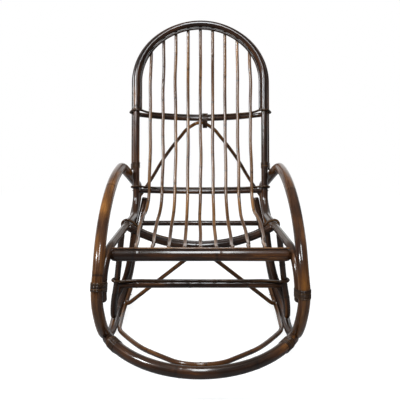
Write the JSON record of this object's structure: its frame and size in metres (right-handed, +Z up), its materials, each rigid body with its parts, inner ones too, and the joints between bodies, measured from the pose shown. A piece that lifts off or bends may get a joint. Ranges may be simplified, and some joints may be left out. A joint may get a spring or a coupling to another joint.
{
  "type": "rocking chair",
  "caption": "Rocking chair of bent, dark-stained cane poles with looped arms, curved runners, a bowed foot hoop and a slatted seat and back tied with split cane.",
  "frame": {"origin": "on the floor, midway between the two points where the runners touch it", "axes": "+Z up, the chair faces -Y, +X to the right as seen from the front"},
  "size_m": [0.6136, 1.0611, 0.996],
  "materials": {
    "dark_pole": "dark stain, glossy lacquer",
    "slat_cane": "worn lacquer",
    "split_cane": "lacquered split cane",
    "nail_steel": "dulled",
    "dowel_wood": "bare"
  },
  "bodies": {
    "root": {"seat_back_hoop": "dark_pole", "outer_back_hoop": "dark_pole", "inner_back_arch": "dark_pole", "left_arm": "dark_pole", "right_arm": "dark_pole", "left_runner": "dark_pole", "right_runner": "dark_pole", "front_foot_hoop": "dark_pole", "foot_hoop_brace": "dark_pole", "front_seat_rail": "dark_pole", "seat_sag_rail": "dark_pole", "lower_back_rail": "dark_pole", "upper_back_rail": "dark_pole", "rear_stretcher": "dark_pole", "front_stretcher": "dark_pole", "left_hairpin_leg": "dark_pole", "right_hairpin_leg": "dark_pole", "under_seat_brace": "dark_pole", "back_brace": "dark_pole", "slat_1": "slat_cane", "slat_2": "slat_cane", "slat_3": "slat_cane", "slat_4": "slat_cane", "slat_5": "slat_cane", "slat_6": "slat_cane", "slat_7": "slat_cane", "slat_8": "slat_cane", "slat_9": "slat_cane", "front_slat_strip": "slat_cane", "upper_rail_strap": "split_cane", "lower_rail_strap": "split_cane", "sag_rail_strap": "split_cane", "front_stretcher_strap": "split_cane", "left_arm_tie": "split_cane", "right_arm_tie": "split_cane", "left_foot_wrap": "split_cane", "right_foot_wrap": "split_cane", "back_brace_tie": "split_cane", "left_post_tie": "split_cane", "right_post_tie": "split_cane", "slat_nails": "nail_steel", "frame_nails": "nail_steel", "toe_dowels": "dowel_wood"}
  },
  "joints": []
}
